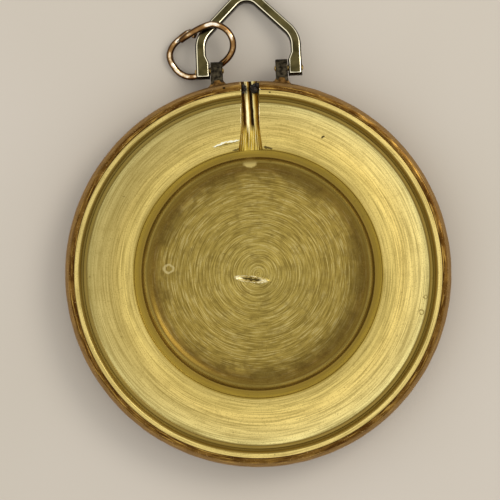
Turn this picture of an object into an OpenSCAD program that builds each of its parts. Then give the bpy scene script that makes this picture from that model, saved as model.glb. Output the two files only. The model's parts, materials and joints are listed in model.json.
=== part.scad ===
// Open round locket case: a gilt outer shell, a turned brass insert with a well,
// two soldered lugs, a pointed bail on hinge pins, and a jump ring of bent wire.
// The flat back lies on z = 0 with its centre at the origin, the open side looks
// up, and the bail is towards +Y. It lies as on a table: the tip of the bail and
// the low side of the jump ring touch z = 0.

/* [Outer shell] */
// Outside diameter of the case
case_d = 40; // [34:0.5:50]
// Thickness of the shell's side wall
shell_wall = 0.95; // [0.8:0.05:1.3]
// Thickness of the shell's flat back
shell_back = 0.45; // [0.35:0.05:0.8]
// How far the curve between back and side reaches in from the side
back_curve_w = 3; // [2.4:0.1:3.4]
// How far the curve between back and side reaches up
back_curve_h = 2.2; // [1.6:0.1:2.4]
// Radius of the rolled rim
rim_r = 0.75; // [0.4:0.05:0.8]

/* [Turned insert] */
// Diameter of the well
well_d = 24.2; // [18:0.1:27]
// Depth of the well below the ledge round it
well_depth = 1.85; // [1.5:0.05:2.6]
// Thickness of the well's floor
well_floor = 0.5; // [0.4:0.05:1]
// Radius of the fillet at the foot of the well's wall
well_fillet = 1.3; // [0.4:0.05:1.4]
// Width of the ledge round the well
ledge_w = 0.76; // [0.4:0.02:1.2]
// Drop from the wide face to the ledge
ledge_drop = 0.95; // [0.8:0.05:1.3]
// Width of the level inner part of the wide face
level_w = 1.6; // [1:0.1:3]
// How far the wide face falls towards its outer edge
face_fall = 0.15; // [0.05:0.05:0.3]
// Width of the shelf at the outer edge of the wide face
shelf_w = 0.35; // [0.2:0.05:0.6]
// Height of the shelf above the wide face's outer edge
shelf_h = 0.35; // [0.2:0.05:0.6]
// Width of the groove at the foot of the cover's seat
seat_groove_w = 0.2; // [0.1:0.05:0.3]
// Depth of the groove at the foot of the cover's seat
seat_groove_h = 0.1; // [0.05:0.05:0.15]
// Height of the rim's land above the shelf
seat_h = 0.85; // [0.6:0.05:1.2]
// Width of the bright land on the rim
land_w = 0.42; // [0.2:0.02:0.6]
// Width of the bevel inside the land
bevel_w = 0.3; // [0.1:0.05:0.4]
// Height of the bevel inside the land
bevel_h = 0.35; // [0.1:0.05:0.4]
// Chamfer along the insert's lower corner
insert_chamfer = 1.4; // [1:0.1:1.6]
// Chamfer along the edges of the ledge
edge_break = 0.06; // [0.02:0.01:0.12]

/* [Channel] */
// Width of the channel from the rim to the well
channel_w = 1.86; // [1.2:0.02:2.2]
// Angle between the channel and the line to the centre
channel_skew = 2.1; // [0:0.1:3]
// Distance of the channel's mouth from the middle of the case
channel_off = 0.05; // [0:0.05:0.3]
// Distance from the mouth to where the flutes begin
flute_start = 4.6; // [3:0.1:5]
// Angle that each flute spreads from the channel
flute_spread = 7; // [3:0.5:9]

/* [Lugs] */
// Distance from the middle to a lug's inner face
lug_inset = 2.75; // [2.4:0.05:3.2]
// Width of a lug
lug_w = 1.25; // [1:0.05:1.6]
// Radius of a lug's round end
lug_r = 0.95; // [0.85:0.05:1.05]
// Distance from the case's side to the hinge pins
lug_reach = 1.2; // [1.15:0.05:1.8]
// Height of the hinge pins above the back
pin_z = 2.9; // [2.8:0.05:3]
// How far a lug is let into the case's side
lug_seat = 0.65; // [0.5:0.05:0.7]
// Width of the solder beside a lug
solder_w = 0.5; // [0.2:0.05:0.7]
// Width of the solder above and below a lug
solder_h = 0.12; // [0.05:0.01:0.2]
// How far the solder climbs along a lug
solder_l = 0.22; // [0.15:0.01:0.25]

/* [Bail] */
// Overall width of the bail
bail_w = 11; // [10.4:0.1:13.2]
// Width of the bail's bar, seen from above
bar_w = 1.1; // [0.8:0.05:1.3]
// Thickness of the bail's bar
bar_t = 1; // [0.9:0.05:1.2]
// Height of the straight legs above the pins
leg_h = 2.48; // [2:0.02:4]
// Outside radius of the bend at the shoulders
bend_r = 3.2; // [2:0.1:4]
// Angle of the two sloping sides
roof_angle = 46; // [40:1:52]
// Outside radius of the tip
tip_r = 1; // [0.6:0.05:1.4]
// Inside radius of the tip
tip_inner_r = 1.17; // [0.6:0.05:1.4]
// Length of the foot below the pins
foot_drop = 0.78; // [0.6:0.02:0.9]
// Height of the foot's wide part above the pins
foot_h = 0.85; // [0.6:0.05:1.2]
// Height of the slope from the foot to the leg
foot_slope = 0.75; // [0.4:0.05:1]
// Gap between a foot and its lug
foot_gap = 0.08; // [0.05:0.01:0.2]
// Radius of the hinge pins
pin_r = 0.3; // [0.25:0.01:0.34]
// Radial clearance of the pins in the lugs
pin_clearance = 0.05; // [0.02:0.01:0.09]
// How far the pins stand out at each end
pin_proud = 0.05; // [0:0.01:0.1]

/* [Jump ring] */
// Diameter of the ring's wire
wire_d = 0.7; // [0.5:0.05:0.8]
// Gap between the wire and the bar it lies on
wire_gap = 0.12; // [0.1:0.01:0.2]

/* [Fits] */
// Radial gap between the insert and the shell
insert_gap = 0.02; // [0:0.01:0.05]
// Height of the insert's land above the shell's rim
land_proud = 0.1; // [0:0.05:0.2]
// Height of the channel's floor above the ledge
channel_rise = 0.02; // [0.01:0.01:0.1]

/* [Hidden] */
$fn = 96;
cut = 1; // how far a cutter runs past what it cuts
arc_steps = 10;

case_r = case_d / 2;
shell_bore_r = case_r - shell_wall;
insert_r = shell_bore_r - insert_gap;
well_r = well_d / 2;
ledge_r = well_r + ledge_w;
seat_r = insert_r - land_w - bevel_w;
shelf_r = seat_r - seat_groove_w;
face_r = shelf_r - shelf_w;

floor_z = shell_back + well_floor;
ledge_z = floor_z + well_depth;
face_z = ledge_z + ledge_drop;
face_edge_z = face_z - face_fall;
shelf_z = face_edge_z + shelf_h;
land_z = shelf_z + seat_h;
rim_z = land_z - land_proud;

channel_r = channel_w / 2;
channel_z = ledge_z + channel_rise + channel_r;
channel_l = case_r - well_r + cut;

pin_y = case_r + lug_reach;
lug_back_y = case_r - lug_seat;
lug_mid = lug_inset + lug_w / 2;
foot_in = lug_inset + lug_w + foot_gap;
bail_half = bail_w / 2;

// Tip of the bail, measured in its own plane from the pins.
bend_x = bail_half - bend_r;
bend_turn = 90 - roof_angle;
roof_top = leg_h + bend_r * sin(bend_turn) + (bend_x + bend_r * cos(bend_turn)) * tan(roof_angle);
tip_v = roof_top - tip_r / sin(bend_turn);
inner_top = roof_top - bar_w / cos(roof_angle);
tip_inner_v = inner_top - tip_inner_r / sin(bend_turn);
bail_l = tip_v + tip_r;
// Angle at which the bail hangs down so that its tip lies on the table.
bail_slope = asin(pin_z / norm([bail_l, bar_t / 2])) - atan2(bar_t / 2, bail_l);

wire_r = wire_d / 2;
table_gap = 0.03; // between the wire's low side and the table
// Where the wire's middle passes over the bar, under the lug and along the table.
wire_over_y = 5;
wire_over = [-bail_half + 1.9, pin_y + wire_over_y,
    pin_z - wire_over_y * tan(bail_slope) + (bar_t / 2 + wire_r) / cos(bail_slope) + wire_gap];
wire_under = [-lug_mid, pin_y + 0.2, pin_z - lug_r - wire_r - 0.2];
wire_low = [-bail_half - 1.85, pin_y + 0.2, wire_r + table_gap];
wire_normal = cross(wire_over - wire_low, wire_under - wire_low);
function wire_z(x, y) = wire_low.z
    - (wire_normal.x * (x - wire_low.x) + wire_normal.y * (y - wire_low.y)) / wire_normal.z;
// Places along the wire, from the bail's left side and the pins, with the rise in bar
// thicknesses where it passes over the bail and the drop in wire widths where it ducks under.
wire_route = [
    [-1.55, 3.35, 0.14], [-0.6, 3.95, 0.455], [0.6, 4.55, 0.49], [1.9, 4.9, 0.21], [3.15, 4.4, 0],
    [3.85, 3.4, 0], [3.9, 2.3, 0], [3.35, 1.35, 0], [2.2, 0.5, 0], [1, -0.1, 0],
    [-0.1, -0.35, 0], [-1, -0.3, 0], [-1.85, 0.2, 0], [-2.5, 1.1, 0], [-2.7, 2, 0],
    [-2.35, 2.9, -0.3], [-1.55, 3.65, -1.05], [-0.7, 4.2, -1.15], [-0.05, 4.2, -1.3],
    [-0.2, 3.75, -1.3]];
wire_steps = 3;
wire_sides = 12;

// Points on an arc about c, from angle a to angle b.
function arc(c, r, a, b, n = arc_steps) =
    [for (i = [0 : n]) let (t = a + (b - a) * i / n) c + r * [cos(t), sin(t)]];

// A cutter for the channel that opens at the rim and runs in past the ledge.
module channel_cutter() {
    translate([channel_off, case_r, channel_z])
        rotate([0, 0, -channel_skew]) {
            groove(cut, channel_l);
            for (side = [-1, 1])
                translate([0, -flute_start, 0])
                    rotate([0, 0, side * flute_spread])
                        groove(0, channel_l - flute_start);
        }
}

// A round-bottomed groove with open top, from y = back to y = -length.
module groove(back, length) {
    translate([0, back, 0])
        rotate([90, 0, 0])
            cylinder(h = back + length, r = channel_r);
    translate([-channel_r, -length, 0])
        cube([channel_w, back + length, rim_z + cut]);
}

module outer_shell() {
    curve_in = case_r - back_curve_w;
    outline = concat(
        [[0, 0]],
        [for (i = [0 : arc_steps]) let (t = 90 * i / arc_steps)
            [curve_in + back_curve_w * sin(t), back_curve_h * (1 - cos(t))]],
        arc([case_r - rim_r, rim_z - rim_r], rim_r, 0, 90),
        [[shell_bore_r, rim_z], [shell_bore_r, shell_back + insert_chamfer],
            [shell_bore_r - insert_chamfer, shell_back], [0, shell_back]]);
    color("#84602c")
        difference() {
            rotate_extrude($fn = 180) polygon(outline);
            channel_cutter();
            for (side = [-1, 1])
                translate([side * lug_mid, 0, 0]) lug_block(cut);
        }
}

module case_insert() {
    fillet_z = floor_z + well_fillet;
    outline = concat(
        [[0, floor_z]],
        arc([well_r - well_fillet, fillet_z], well_fillet, -90, 0),
        [[well_r, ledge_z - edge_break], [well_r + edge_break, ledge_z], [ledge_r, ledge_z],
            [ledge_r, face_z - edge_break], [ledge_r + edge_break, face_z],
            [ledge_r + level_w, face_z], [face_r, face_edge_z], [face_r, shelf_z],
            [shelf_r, shelf_z], [shelf_r, shelf_z - seat_groove_h],
            [seat_r, shelf_z - seat_groove_h], [seat_r, land_z - bevel_h],
            [seat_r + bevel_w, land_z], [insert_r, land_z],
            [insert_r, shell_back + insert_chamfer],
            [insert_r - insert_chamfer, shell_back], [0, shell_back]]);
    color("#c8b05c")
        difference() {
            rotate_extrude($fn = 180) polygon(outline);
            channel_cutter();
        }
}

// A lug's outer shape about its own middle, its block lengthened outwards by extra.
module lug_block(extra = 0) {
    translate([-lug_w / 2, lug_back_y, pin_z - lug_r])
        cube([lug_w, pin_y - lug_back_y + extra, 2 * lug_r]);
}

module lug(side) {
    color("#5c5347")
        translate([side * lug_mid, 0, 0])
            difference() {
                union() {
                    lug_block();
                    translate([-lug_w / 2, pin_y, pin_z])
                        rotate([0, 90, 0])
                            cylinder(h = lug_w, r = lug_r);
                }
                translate([-lug_w / 2 - cut, pin_y, pin_z])
                    rotate([0, 90, 0])
                        cylinder(h = lug_w + 2 * cut, r = pin_r + pin_clearance);
            }
}

// The collar of solder between a lug and the curved side of the case.
module solder(side) {
    half = lug_w / 2;
    top_y = case_r + solder_l;
    color("#7a5a30")
        difference() {
            translate([side * lug_mid, 0, pin_z - lug_r - solder_h])
                linear_extrude(2 * (lug_r + solder_h))
                    polygon([[-half - solder_w, lug_back_y], [half + solder_w, lug_back_y],
                        [half + solder_w, lug_back_y + 0.5], [half + 0.06, top_y],
                        [-half - 0.06, top_y], [-half - solder_w, lug_back_y + 0.5]]);
            translate([side * lug_mid, 0, 0]) lug_block(cut);
            cylinder(h = land_z + cut, r = case_r, $fn = 180);
        }
}

// The same points on the left side, in the opposite order.
function flip(points) = [for (i = [len(points) - 1 : -1 : 0]) [-points[i].x, points[i].y]];

// The bail's outline in its own plane, with the pins' axis on y = 0.
module bail_outline() {
    turn = bend_turn;
    leg_in = bail_half - bar_w;
    outside = concat([[foot_in, -foot_drop], [bail_half, -foot_drop]],
        arc([bend_x, leg_h], bend_r, 0, turn));
    inside = concat(arc([bend_x, leg_h], bend_r - bar_w, turn, 0),
        [[leg_in, foot_h + foot_slope], [foot_in, foot_h]]);
    polygon(concat(outside, arc([0, tip_v], tip_r, turn, 180 - turn), flip(outside),
        flip(inside), arc([0, tip_inner_v], tip_inner_r, 180 - turn, turn), inside));
}

module bail() {
    color("#6b6046")
        translate([0, pin_y, pin_z])
            rotate([-bail_slope, 0, 0])
                difference() {
                    translate([0, 0, -bar_t / 2])
                        linear_extrude(bar_t) bail_outline();
                    translate([-bail_half - cut, 0, 0])
                        rotate([0, 90, 0])
                            cylinder(h = bail_w + 2 * cut, r = pin_r);
                }
}

module bail_pin(side) {
    pin_in = lug_inset - pin_proud;
    pin_l = bail_half + pin_proud - pin_in;
    color("#8a7442")
        translate([side * (pin_in + pin_l / 2), pin_y, pin_z])
            rotate([0, 90, 0])
                cylinder(h = pin_l, r = pin_r, center = true);
}

// A smooth curve through four neighbouring points.
function curve(a, b, c, d, t) = 0.5 * (2 * b + (c - a) * t
    + (2 * a - 5 * b + 4 * c - d) * t * t + (3 * b - a - 3 * c + d) * t * t * t);

module jump_ring() {
    marks = [for (p = wire_route) let (x = p.x - bail_half, y = pin_y + p.y)
        [x, y, wire_z(x, y) + p.z * (p.z > 0 ? bar_t : wire_d)]];
    last = len(marks) - 1;
    line = concat(
        [for (i = [0 : last - 1], j = [0 : wire_steps - 1])
            curve(marks[max(i - 1, 0)], marks[i], marks[i + 1], marks[min(i + 2, last)],
                j / wire_steps)],
        [marks[last]]);
    n = len(line);
    up = wire_normal / norm(wire_normal);
    skin = [for (i = [0 : n - 1])
        let (way = line[min(i + 1, n - 1)] - line[max(i - 1, 0)],
            out = cross(way, up) / norm(cross(way, up)),
            top = cross(out, way) / norm(cross(out, way)))
        for (k = [0 : wire_sides - 1]) let (a = 360 * k / wire_sides)
            line[i] + wire_r * (cos(a) * out + sin(a) * top)];
    sides = [for (i = [0 : n - 2], k = [0 : wire_sides - 1])
        let (m = (k + 1) % wire_sides, a = i * wire_sides, b = a + wire_sides)
        [a + k, a + m, b + m, b + k]];
    first_end = [for (k = [wire_sides - 1 : -1 : 0]) k];
    last_end = [for (k = [0 : wire_sides - 1]) (n - 1) * wire_sides + k];
    color("#b07f55")
        polyhedron(skin, concat(sides, [first_end], [last_end]), convexity = 6);
}

outer_shell();
case_insert();
lug(-1);  // lug_left
lug(1);  // lug_right
solder(-1);  // solder_left
solder(1);  // solder_right
bail();
bail_pin(-1);  // bail_pin_left
bail_pin(1);  // bail_pin_right
jump_ring();
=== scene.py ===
import json
import math
import random

import bmesh
import bpy
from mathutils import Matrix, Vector, noise


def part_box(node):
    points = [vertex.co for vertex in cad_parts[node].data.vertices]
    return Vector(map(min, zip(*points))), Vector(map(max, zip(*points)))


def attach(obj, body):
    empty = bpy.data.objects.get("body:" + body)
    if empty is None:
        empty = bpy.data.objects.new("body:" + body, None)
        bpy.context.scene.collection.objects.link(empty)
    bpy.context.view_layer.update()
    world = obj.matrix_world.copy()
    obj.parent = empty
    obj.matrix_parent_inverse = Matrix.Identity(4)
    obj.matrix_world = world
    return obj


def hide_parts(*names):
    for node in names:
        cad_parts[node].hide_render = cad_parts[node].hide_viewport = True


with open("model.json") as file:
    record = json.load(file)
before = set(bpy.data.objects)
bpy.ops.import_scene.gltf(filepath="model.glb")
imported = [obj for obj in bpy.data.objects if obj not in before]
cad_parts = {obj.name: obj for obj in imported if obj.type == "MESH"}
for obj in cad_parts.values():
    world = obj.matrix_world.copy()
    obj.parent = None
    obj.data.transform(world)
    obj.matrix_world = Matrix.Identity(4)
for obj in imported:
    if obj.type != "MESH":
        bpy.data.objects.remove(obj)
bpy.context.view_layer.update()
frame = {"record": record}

mm = 0.001
random.seed(7)
scene = bpy.context.scene

# Places that the frame gives, in millimetres.
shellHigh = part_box("outer_shell")[1] / mm
insertLow, insertHigh = [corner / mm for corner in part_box("case_insert")]
lugLow, lugHigh = [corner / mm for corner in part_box("lug_right")]
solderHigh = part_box("solder_right")[1] / mm
pinLow, pinHigh = [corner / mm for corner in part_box("bail_pin_right")]
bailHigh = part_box("bail")[1] / mm
mounts = {mount["name"]: mount for mount in frame["record"]["mounts"]}
place = {
    "caseR": shellHigh.x,
    "rimZ": shellHigh.z,
    "landZ": insertHigh.z,
    "insertR": insertHigh.x,
    "insertZ": insertLow.z,
    "wellR": mounts["well"]["dims"]["r_mm"],
    "seatR": mounts["cover_seat"]["dims"]["r_mm"],
    "pinY": (pinLow.y + pinHigh.y) / 2,
    "pinZ": (pinLow.z + pinHigh.z) / 2,
    "pinR": (pinHigh.z - pinLow.z) / 2,
    "lugMid": (lugLow.x + lugHigh.x) / 2,
    "lugHalf": (lugHigh.x - lugLow.x) / 2,
    "lugR": (lugHigh.z - lugLow.z) / 2,
    "bailHalf": bailHigh.x,
}


mostNoise = {1: 0.3, 2: 0.7}  # most of a noise lies between these, for a range's two inputs


def linear(hexColour):
    channels = [int(hexColour[i:i + 2], 16) / 255 for i in (1, 3, 5)]
    return [c / 12.92 if c <= 0.04045 else ((c + 0.055) / 1.055) ** 2.4 for c in channels] + [1.0]


def addNode(tree, kind, links=None, stops=None, **settings):
    # a link is a socket, a node whose first live output is used, or a plain value; stops fill a ramp.
    # A range's inputs go by number: 0 is the value, 1 and 2 its range, 3 and 4 the result's.
    node = tree.nodes.new("ShaderNode" + kind)
    for name, value in settings.items():
        setattr(node, name, value)
    for socket, value in (links or {}).items():
        if isinstance(value, bpy.types.Node):
            value = next(output for output in value.outputs if output.enabled)
        if isinstance(value, bpy.types.NodeSocket):
            tree.links.new(value, node.inputs[socket])
        else:
            node.inputs[socket].default_value = value
    for i, (at, colour) in enumerate(stops or []):
        elements = node.color_ramp.elements
        if i == 0:
            elements.remove(elements[-1])
        stop = elements.new(at) if i else elements[0]
        stop.position, stop.color = at, colour
    return node


def makeObject(name, bm, sharpAngle=32):
    mesh = bpy.data.meshes.new(name)
    bmesh.ops.recalc_face_normals(bm, faces=bm.faces)
    bm.to_mesh(mesh)
    bm.free()
    obj = bpy.data.objects.new(name, mesh)
    scene.collection.objects.link(obj)
    smoothFaces(obj, sharpAngle)
    return obj


def smoothFaces(obj, sharpAngle):
    obj.data.polygons.foreach_set("use_smooth", [True] * len(obj.data.polygons))
    obj.data.set_sharp_from_angle(angle=math.radians(sharpAngle))
    obj.data.update()


def applyModifiers(obj, sharpAngle=32):
    graph = bpy.context.evaluated_depsgraph_get()
    finished = bpy.data.meshes.new_from_object(obj.evaluated_get(graph))
    obj.modifiers.clear()
    obj.data = finished
    smoothFaces(obj, sharpAngle)


def cutAway(obj, cutters, sharpAngle=32):
    for cutter in cutters:
        modifier = obj.modifiers.new("cut", "BOOLEAN")
        modifier.operation = "DIFFERENCE"
        modifier.solver = "MANIFOLD"
        modifier.object = cutter
        modifier.material_mode = "TRANSFER"
        bpy.context.view_layer.update()
        applyModifiers(obj, sharpAngle)
    for cutter in cutters:
        bpy.data.objects.remove(cutter)


def roundOutline(points, steps=4):
    # points are (r, z, radius of the rounding); the first and last stay sharp
    made = [Vector(points[0][:2])]
    for before, here, after in zip(points, points[1:], points[2:]):
        corner, radius = Vector(here[:2]), here[2]
        back, ahead = Vector(before[:2]) - corner, Vector(after[:2]) - corner
        if radius <= 0:
            made.append(corner)
            continue
        sharpest, nearlyHalf = 0.05, 0.49
        reach = radius / math.tan(max(back.angle(ahead), sharpest) / 2)
        reach = min(reach, back.length * nearlyHalf, ahead.length * nearlyHalf)
        back, ahead = back.normalized() * reach, ahead.normalized() * reach
        made += [corner + back * (1 - t) ** 2 + ahead * t ** 2 for t in (i / steps for i in range(steps + 1))]
    made.append(Vector(points[-1][:2]))
    return made


def lathe(name, outline, steps, sharpAngle=32):
    bm = bmesh.new()
    rings = []
    for r, z in outline:
        if r < 1e-6:
            rings.append([bm.verts.new((0, 0, z * mm))])
        else:
            rings.append([bm.verts.new((r * mm * math.cos(a), r * mm * math.sin(a), z * mm))
                          for a in (2 * math.pi * k / steps for k in range(steps))])
    for low, high in zip(rings, rings[1:]):
        for k in range(steps):
            m = (k + 1) % steps
            corners = [low[k % len(low)], low[m % len(low)], high[m % len(high)], high[k % len(high)]]
            bm.faces.new(list(dict.fromkeys(corners)))
    return makeObject(name, bm, sharpAngle)


def bridge(bm, loops, capped=True):
    # faces from each loop of points to the next, and one over each end
    for low, high in zip(loops, loops[1:]):
        for k in range(len(low)):
            m = (k + 1) % len(low)
            bm.faces.new([low[k], low[m], high[m], high[k]])
    if capped:
        bm.faces.new(loops[0][::-1])
        bm.faces.new(loops[-1])


def tube(name, line, radii, sides, up, capRings=4):
    # a round bar along a line of points in mm, with domed ends that stand half a radius proud
    bm = bmesh.new()
    rings = []
    last = len(line) - 1

    def ring(centre, way, radius):
        out = way.cross(up).normalized()
        top = out.cross(way).normalized()
        return [bm.verts.new((centre + radius * (math.cos(a) * out + math.sin(a) * top)) * mm)
                for a in (2 * math.pi * k / sides for k in range(sides))]

    def dome(end, outward, turns):
        return [ring(line[end] + outward * ways[end] * radii[end] * 0.5 * math.sin(a), ways[end],
                     radii[end] * math.cos(a)) for a in turns]

    ways = [(line[min(i + 1, last)] - line[max(i - 1, 0)]).normalized() for i in range(last + 1)]
    turns = [math.pi / 2 * c / (capRings + 0.6) for c in range(1, capRings + 1)]  # stops short of the pole
    rings += dome(0, -1, turns[::-1])
    rings += [ring(line[i], ways[i], radii[i]) for i in range(last + 1)]
    rings += dome(last, 1, turns)
    bridge(bm, rings)
    return makeObject(name, bm, 60)


def curvePoint(a, b, c, d, t):
    # a smooth curve through b and c that leaves each in the line of its neighbours
    bend, twist = 2 * a - 5 * b + 4 * c - d, 3 * b - a - 3 * c + d
    return 0.5 * (2 * b + (c - a) * t + bend * t * t + twist * t ** 3)


def throughPoints(marks, steps):
    last = len(marks) - 1
    line = [curvePoint(marks[max(i - 1, 0)], marks[i], marks[i + 1], marks[min(i + 2, last)], j / steps)
            for i in range(last) for j in range(steps)]
    return line + [marks[last]]


def startMaterial(name):
    material = bpy.data.materials.new(name)
    material.use_nodes = True
    tree = material.node_tree
    tree.nodes.clear()
    coords = addNode(tree, "TexCoord")
    return material, tree, coords.outputs["Object"], coords.outputs["Normal"]


def finishMaterial(material, tree, look, colour, height, patches, sockets):
    # the look gives the bump's strength and its depth in mm, and the roughness of bare and of dull patches
    strength, depth = look["bump"]
    bare, dull = look["rough"]
    bump = addNode(tree, "Bump", {"Height": height, "Strength": strength, "Distance": depth * mm})
    rough = addNode(tree, "MapRange", {0: patches, **mostNoise, 3: bare, 4: dull})
    skin = addNode(tree, "BsdfPrincipled", {"Base Color": colour, "Roughness": rough, "Normal": bump,
                                            **sockets})
    addNode(tree, "OutputMaterial", {"Surface": skin})
    return material


def layCoats(tree, colour, coats, found):
    # coats go on in turn: what each one follows, where that starts and ends, how much it covers at
    # both of those, where it stays, and its colour
    for follow, start, end, before, after, within, shade in coats:
        cover = addNode(tree, "MapRange", {0: found[follow], 1: start, 2: end, 3: before, 4: after})
        cover = addNode(tree, "Math", {0: cover, 1: found.get(within, 1.0)}, operation="MULTIPLY")
        colour = addNode(tree, "Mix", {"Factor": cover, 6: colour, 7: linear(shade)}, data_type="RGBA")
    return colour


def rampOf(stops):
    return [(at, linear(shade)) for at, shade in stops]


def radiusOf(tree, where):
    flat = addNode(tree, "VectorMath", {0: where, 1: (1, 1, 0)}, operation="MULTIPLY")
    return flat, addNode(tree, "VectorMath", {0: flat}, operation="LENGTH")


def ringBand(tree, radius, rise, fall, rest):
    # 0 inside the first pair of radii, 1 between the pairs, and the given rest outside the second
    fades = [addNode(tree, "MapRange", {0: radius, 1: low * mm, 2: high * mm, 3: before, 4: after})
             for (low, high), before, after in ((rise, 0.0, 1.0), (fall, 1.0, rest))]
    return addNode(tree, "Math", {0: fades[0], 1: fades[1]}, operation="MULTIPLY")


def turningMarks(tree, where, depth, pitch, arc):
    # noise that is fine across the tool's rings and long along them
    parts = addNode(tree, "SeparateXYZ", {0: where})
    steps = [addNode(tree, "Math", {0: source, 1: size * mm}, operation="DIVIDE")
             for source, size in ((depth, pitch), (parts.outputs["X"], arc), (parts.outputs["Y"], arc))]
    return addNode(tree, "TexNoise", {"Vector": addNode(tree, "CombineXYZ", dict(enumerate(steps))),
                                      "Scale": 1.0, "Detail": 2.0})


def ragged(tree, where, size, shift):
    # places pushed about a little, so that an edge drawn with them is uneven
    push = addNode(tree, "TexNoise", {"Vector": where, "Scale": 1 / (size * mm), "Detail": 3.0})
    middle = addNode(tree, "VectorMath", {0: push.outputs["Color"], 1: (0.5, 0.5, 0.5)},
                     operation="SUBTRACT")
    scaled = addNode(tree, "VectorMath", {0: middle, "Scale": 2 * shift * mm}, operation="SCALE")
    return addNode(tree, "VectorMath", {0: where, 1: scaled}, operation="ADD").outputs[0]


def ovalMask(tree, where, x, y, long, wide, turn, hollow):
    # 1 inside an oval, or along its rim for a hollow one, and 0 outside
    local = addNode(tree, "Mapping", {"Vector": where, "Location": (x * mm, y * mm, 0),
                                      "Rotation": (0, 0, math.radians(turn)),
                                      "Scale": (long * mm, wide * mm, 1)}, vector_type="TEXTURE")
    far = radiusOf(tree, local)[1]
    solid, gone, rimAt = (0.1, 0.3, 0.8) if hollow else (0.75, 1.1, 0.0)
    off = addNode(tree, "Math", {0: far, 1: rimAt}, operation="SUBTRACT")
    off = addNode(tree, "Math", {0: off}, operation="ABSOLUTE")
    return addNode(tree, "MapRange", {0: off, 1: solid, 2: gone, 3: 1.0, 4: 0.0})


brass = {
    # radius in mm, and the colour there: the gilding's own, with painted shade in the darker bands at the
    # foot of the well's wall, on the ledge, at the face's outer step and in the seat's groove
    "zones": [(0, "#bca656"), (9.0, "#aa9248"), (10.3, "#b09648"), (10.8, "#8e7234"), (11.3, "#664e1c"),
              (11.55, "#725822"), (11.8, "#ecd474"), (12.02, "#c2a24c"), (12.12, "#9c8038"),
              (12.3, "#8c722c"), (12.75, "#ae9238"), (12.93, "#ae923a"), (13.04, "#d8c070"),
              (14.0, "#ecd27a"), (15.0, "#fde084"), (17.0, "#ffe894"), (17.7, "#ffee9e"),
              (17.75, "#70561e"), (17.82, "#684e1c"), (17.88, "#a08442"), (18.08, "#98803e"),
              (18.12, "#705620"), (18.3, "#7e6426"), (18.42, "#967830"), (18.62, "#f4da84"),
              (18.92, "#fae08c"), (19.0, "#e8c878"), (19.03, "#b08a40")],
    # x, y, half length and half width in mm, turn in degrees, hollow or not, colour, how strong: stains, with
    # painted light, highlights and shadows among them
    "stainsAndLight": [(-0.34, 11.58, 0.74, 0.52, 0, False, "#d2bc72", 0.75),  # painted pool of light that comes through the channel onto the well's wall
               (-9.3, 0.93, 0.6, 0.5, 0, True, "#dccb90", 0.5),
               (16.7, -4.7, 0.3, 0.3, 0, True, "#7a6024", 0.7),
               (17.2, -3.15, 0.24, 0.24, 0, True, "#7a6024", 0.6),
               (7.31, 13.84, 0.2, 0.12, 30, False, "#3a2c10", 0.9),
               (2.05, 18.73, 0.14, 0.12, 0, False, "#2e220c", 0.9),
               (-2.0, 13.84, 0.75, 0.09, 6, False, "#fffce0", 1.0),  # painted highlight along a scratch by the channel
               (-3.3, 13.6, 0.85, 0.1, 19, False, "#fffce0", 1.0),
               # painted shadow line under the scratch
               (-2.7, 13.56, 1.5, 0.06, 12, False, "#5c4a1c", 0.7),
               # painted shadow in the two dark wedges where the channel meets the ledge
               (1.6, 13.0, 0.5, 0.14, -15, False, "#33240a", 0.85),
               (-1.7, 12.95, 0.4, 0.12, 8, False, "#33240a", 0.8),
               (-0.76, -0.53, 1.2, 0.13, -9, False, "#2e220c", 0.85),  # the gouge, darker inside, and a painted highlight along its lip
               (-0.76, -0.53, 1.68, 0.33, -9, True, "#fff2c0", 0.75)],
    "raggedEdge": (0.35, 0.16),  # mm between the dents in an oval's edge, and mm deep
    "shadedSide": 157,  # degrees from +X to the side of the wide face that is painted darker, as painted shade on the side the light falls on least
    # mm across and along the tool's marks; real ones are nearer 0.03 mm apart, too fine to show
    "marks": {"fine": (0.11, 4.5), "coarse": (0.4, 12.0), "cuts": (0.1, 1.7)},
    # size in mm, detail and roughness; real dust pits are finer than this too
    "noises": {"patches": (3.2, 5.0, 0.55), "specks": (0.35, 3.0, 0.55),
               "mottle": (1.1, 6.0, 0.7), "dust": (0.13, 2.0, 0.55)},
    # radii in mm over which each fades in and out, and what is left outside
    "face": ((14.0, 15.2), (18.2, 18.7), 0.4),
    "foot": ((9.0, 10.3), (10.9, 11.5), 0.0),
    "floorEdge": (9.8, 11.6),
    "coats": [
        ("side", -0.5, 1.0, 0.0, 0.58, "face", "#857640"),  # painted shade on the side away from the light
        ("coarse", 0.42, 0.64, 0.0, 0.34, "everywhere", "#8a7634"),  # rings that the tool left darker
        ("fine", 0.46, 0.64, 0.0, 0.5, "everywhere", "#86702e"),
        ("cuts", 0.5, 0.62, 0.0, 0.58, "floor", "#64521e"),
        ("cuts", 0.45, 0.34, 0.0, 0.3, "floor", "#ecdc9c"),  # and their bright crests
        ("mottle", 0.5, 0.68, 0.0, 0.5, "floor", "#6e5c2c"),
        ("patches", 0.4, 0.58, 0.1, 0.6, "foot", "#44300f"),  # tarnish with painted shade at the foot of the well's wall, here and in the next coat
        ("mottle", 0.45, 0.6, 0.0, 0.25, "foot", "#44300f"),
        ("mottle", 0.55, 0.7, 0.0, 0.22, "everywhere", "#8a7436"),
        ("patches", 0.55, 0.75, 0.0, 0.3, "everywhere", "#8f7c3c"),
        ("specks", 0.68, 0.78, 0.0, 0.6, "everywhere", "#4c3a16"),
        ("dust", 0.52, 0.72, 0.0, 0.45, "everywhere", "#8a7434")],
    "fineShare": 0.75,  # height of the fine marks beside the coarse ones
    "strength": (0.4, 0.75), "depth": 0.02,  # of the marks on the face and in the well; mm
    "rough": (0.3, 0.38), "anisotropic": 0.4, "grainTurn": 0.25,
}


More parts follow.
